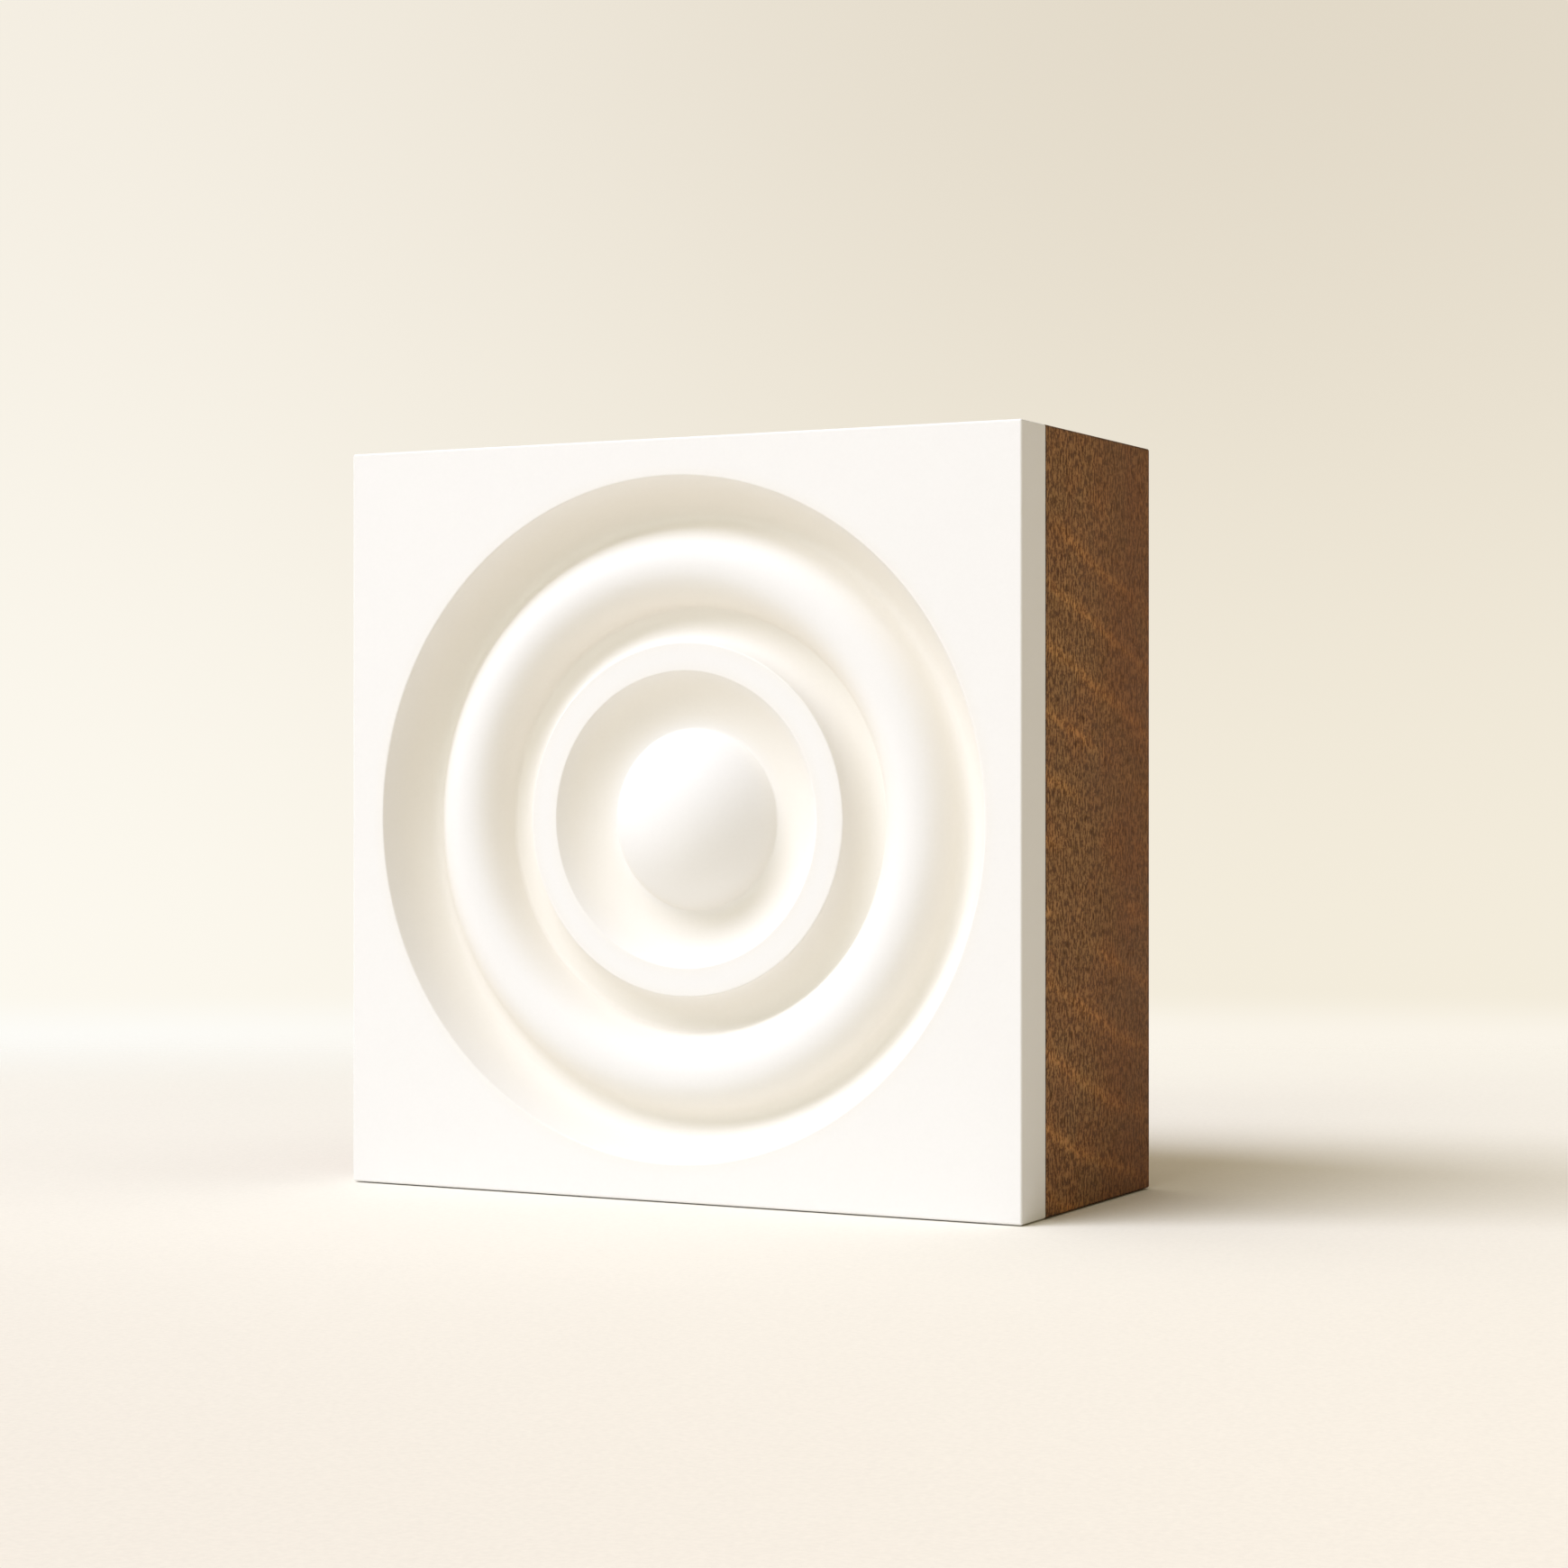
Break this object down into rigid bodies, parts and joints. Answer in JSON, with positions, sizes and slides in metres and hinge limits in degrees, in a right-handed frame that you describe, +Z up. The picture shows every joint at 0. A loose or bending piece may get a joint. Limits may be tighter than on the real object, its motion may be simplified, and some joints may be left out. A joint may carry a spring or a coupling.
{
  "type": "architrave block",
  "caption": "Square architrave corner block with a turned round rosette in a smooth white face board, glued to a dark walnut block.",
  "frame": {"origin": "middle of the underside that the block stands on", "axes": "+X across the face to the right, +Y from the face back towards the wall, +Z up"},
  "size_m": [0.1, 0.0436, 0.1],
  "materials": {
    "painted_face": "smooth warm white eggshell paint, no grain showing",
    "walnut": "dark walnut, open grained, low sheen oil"
  },
  "bodies": {
    "root": {"face_plate": "painted_face", "backing_block": "walnut"}
  },
  "joints": []
}
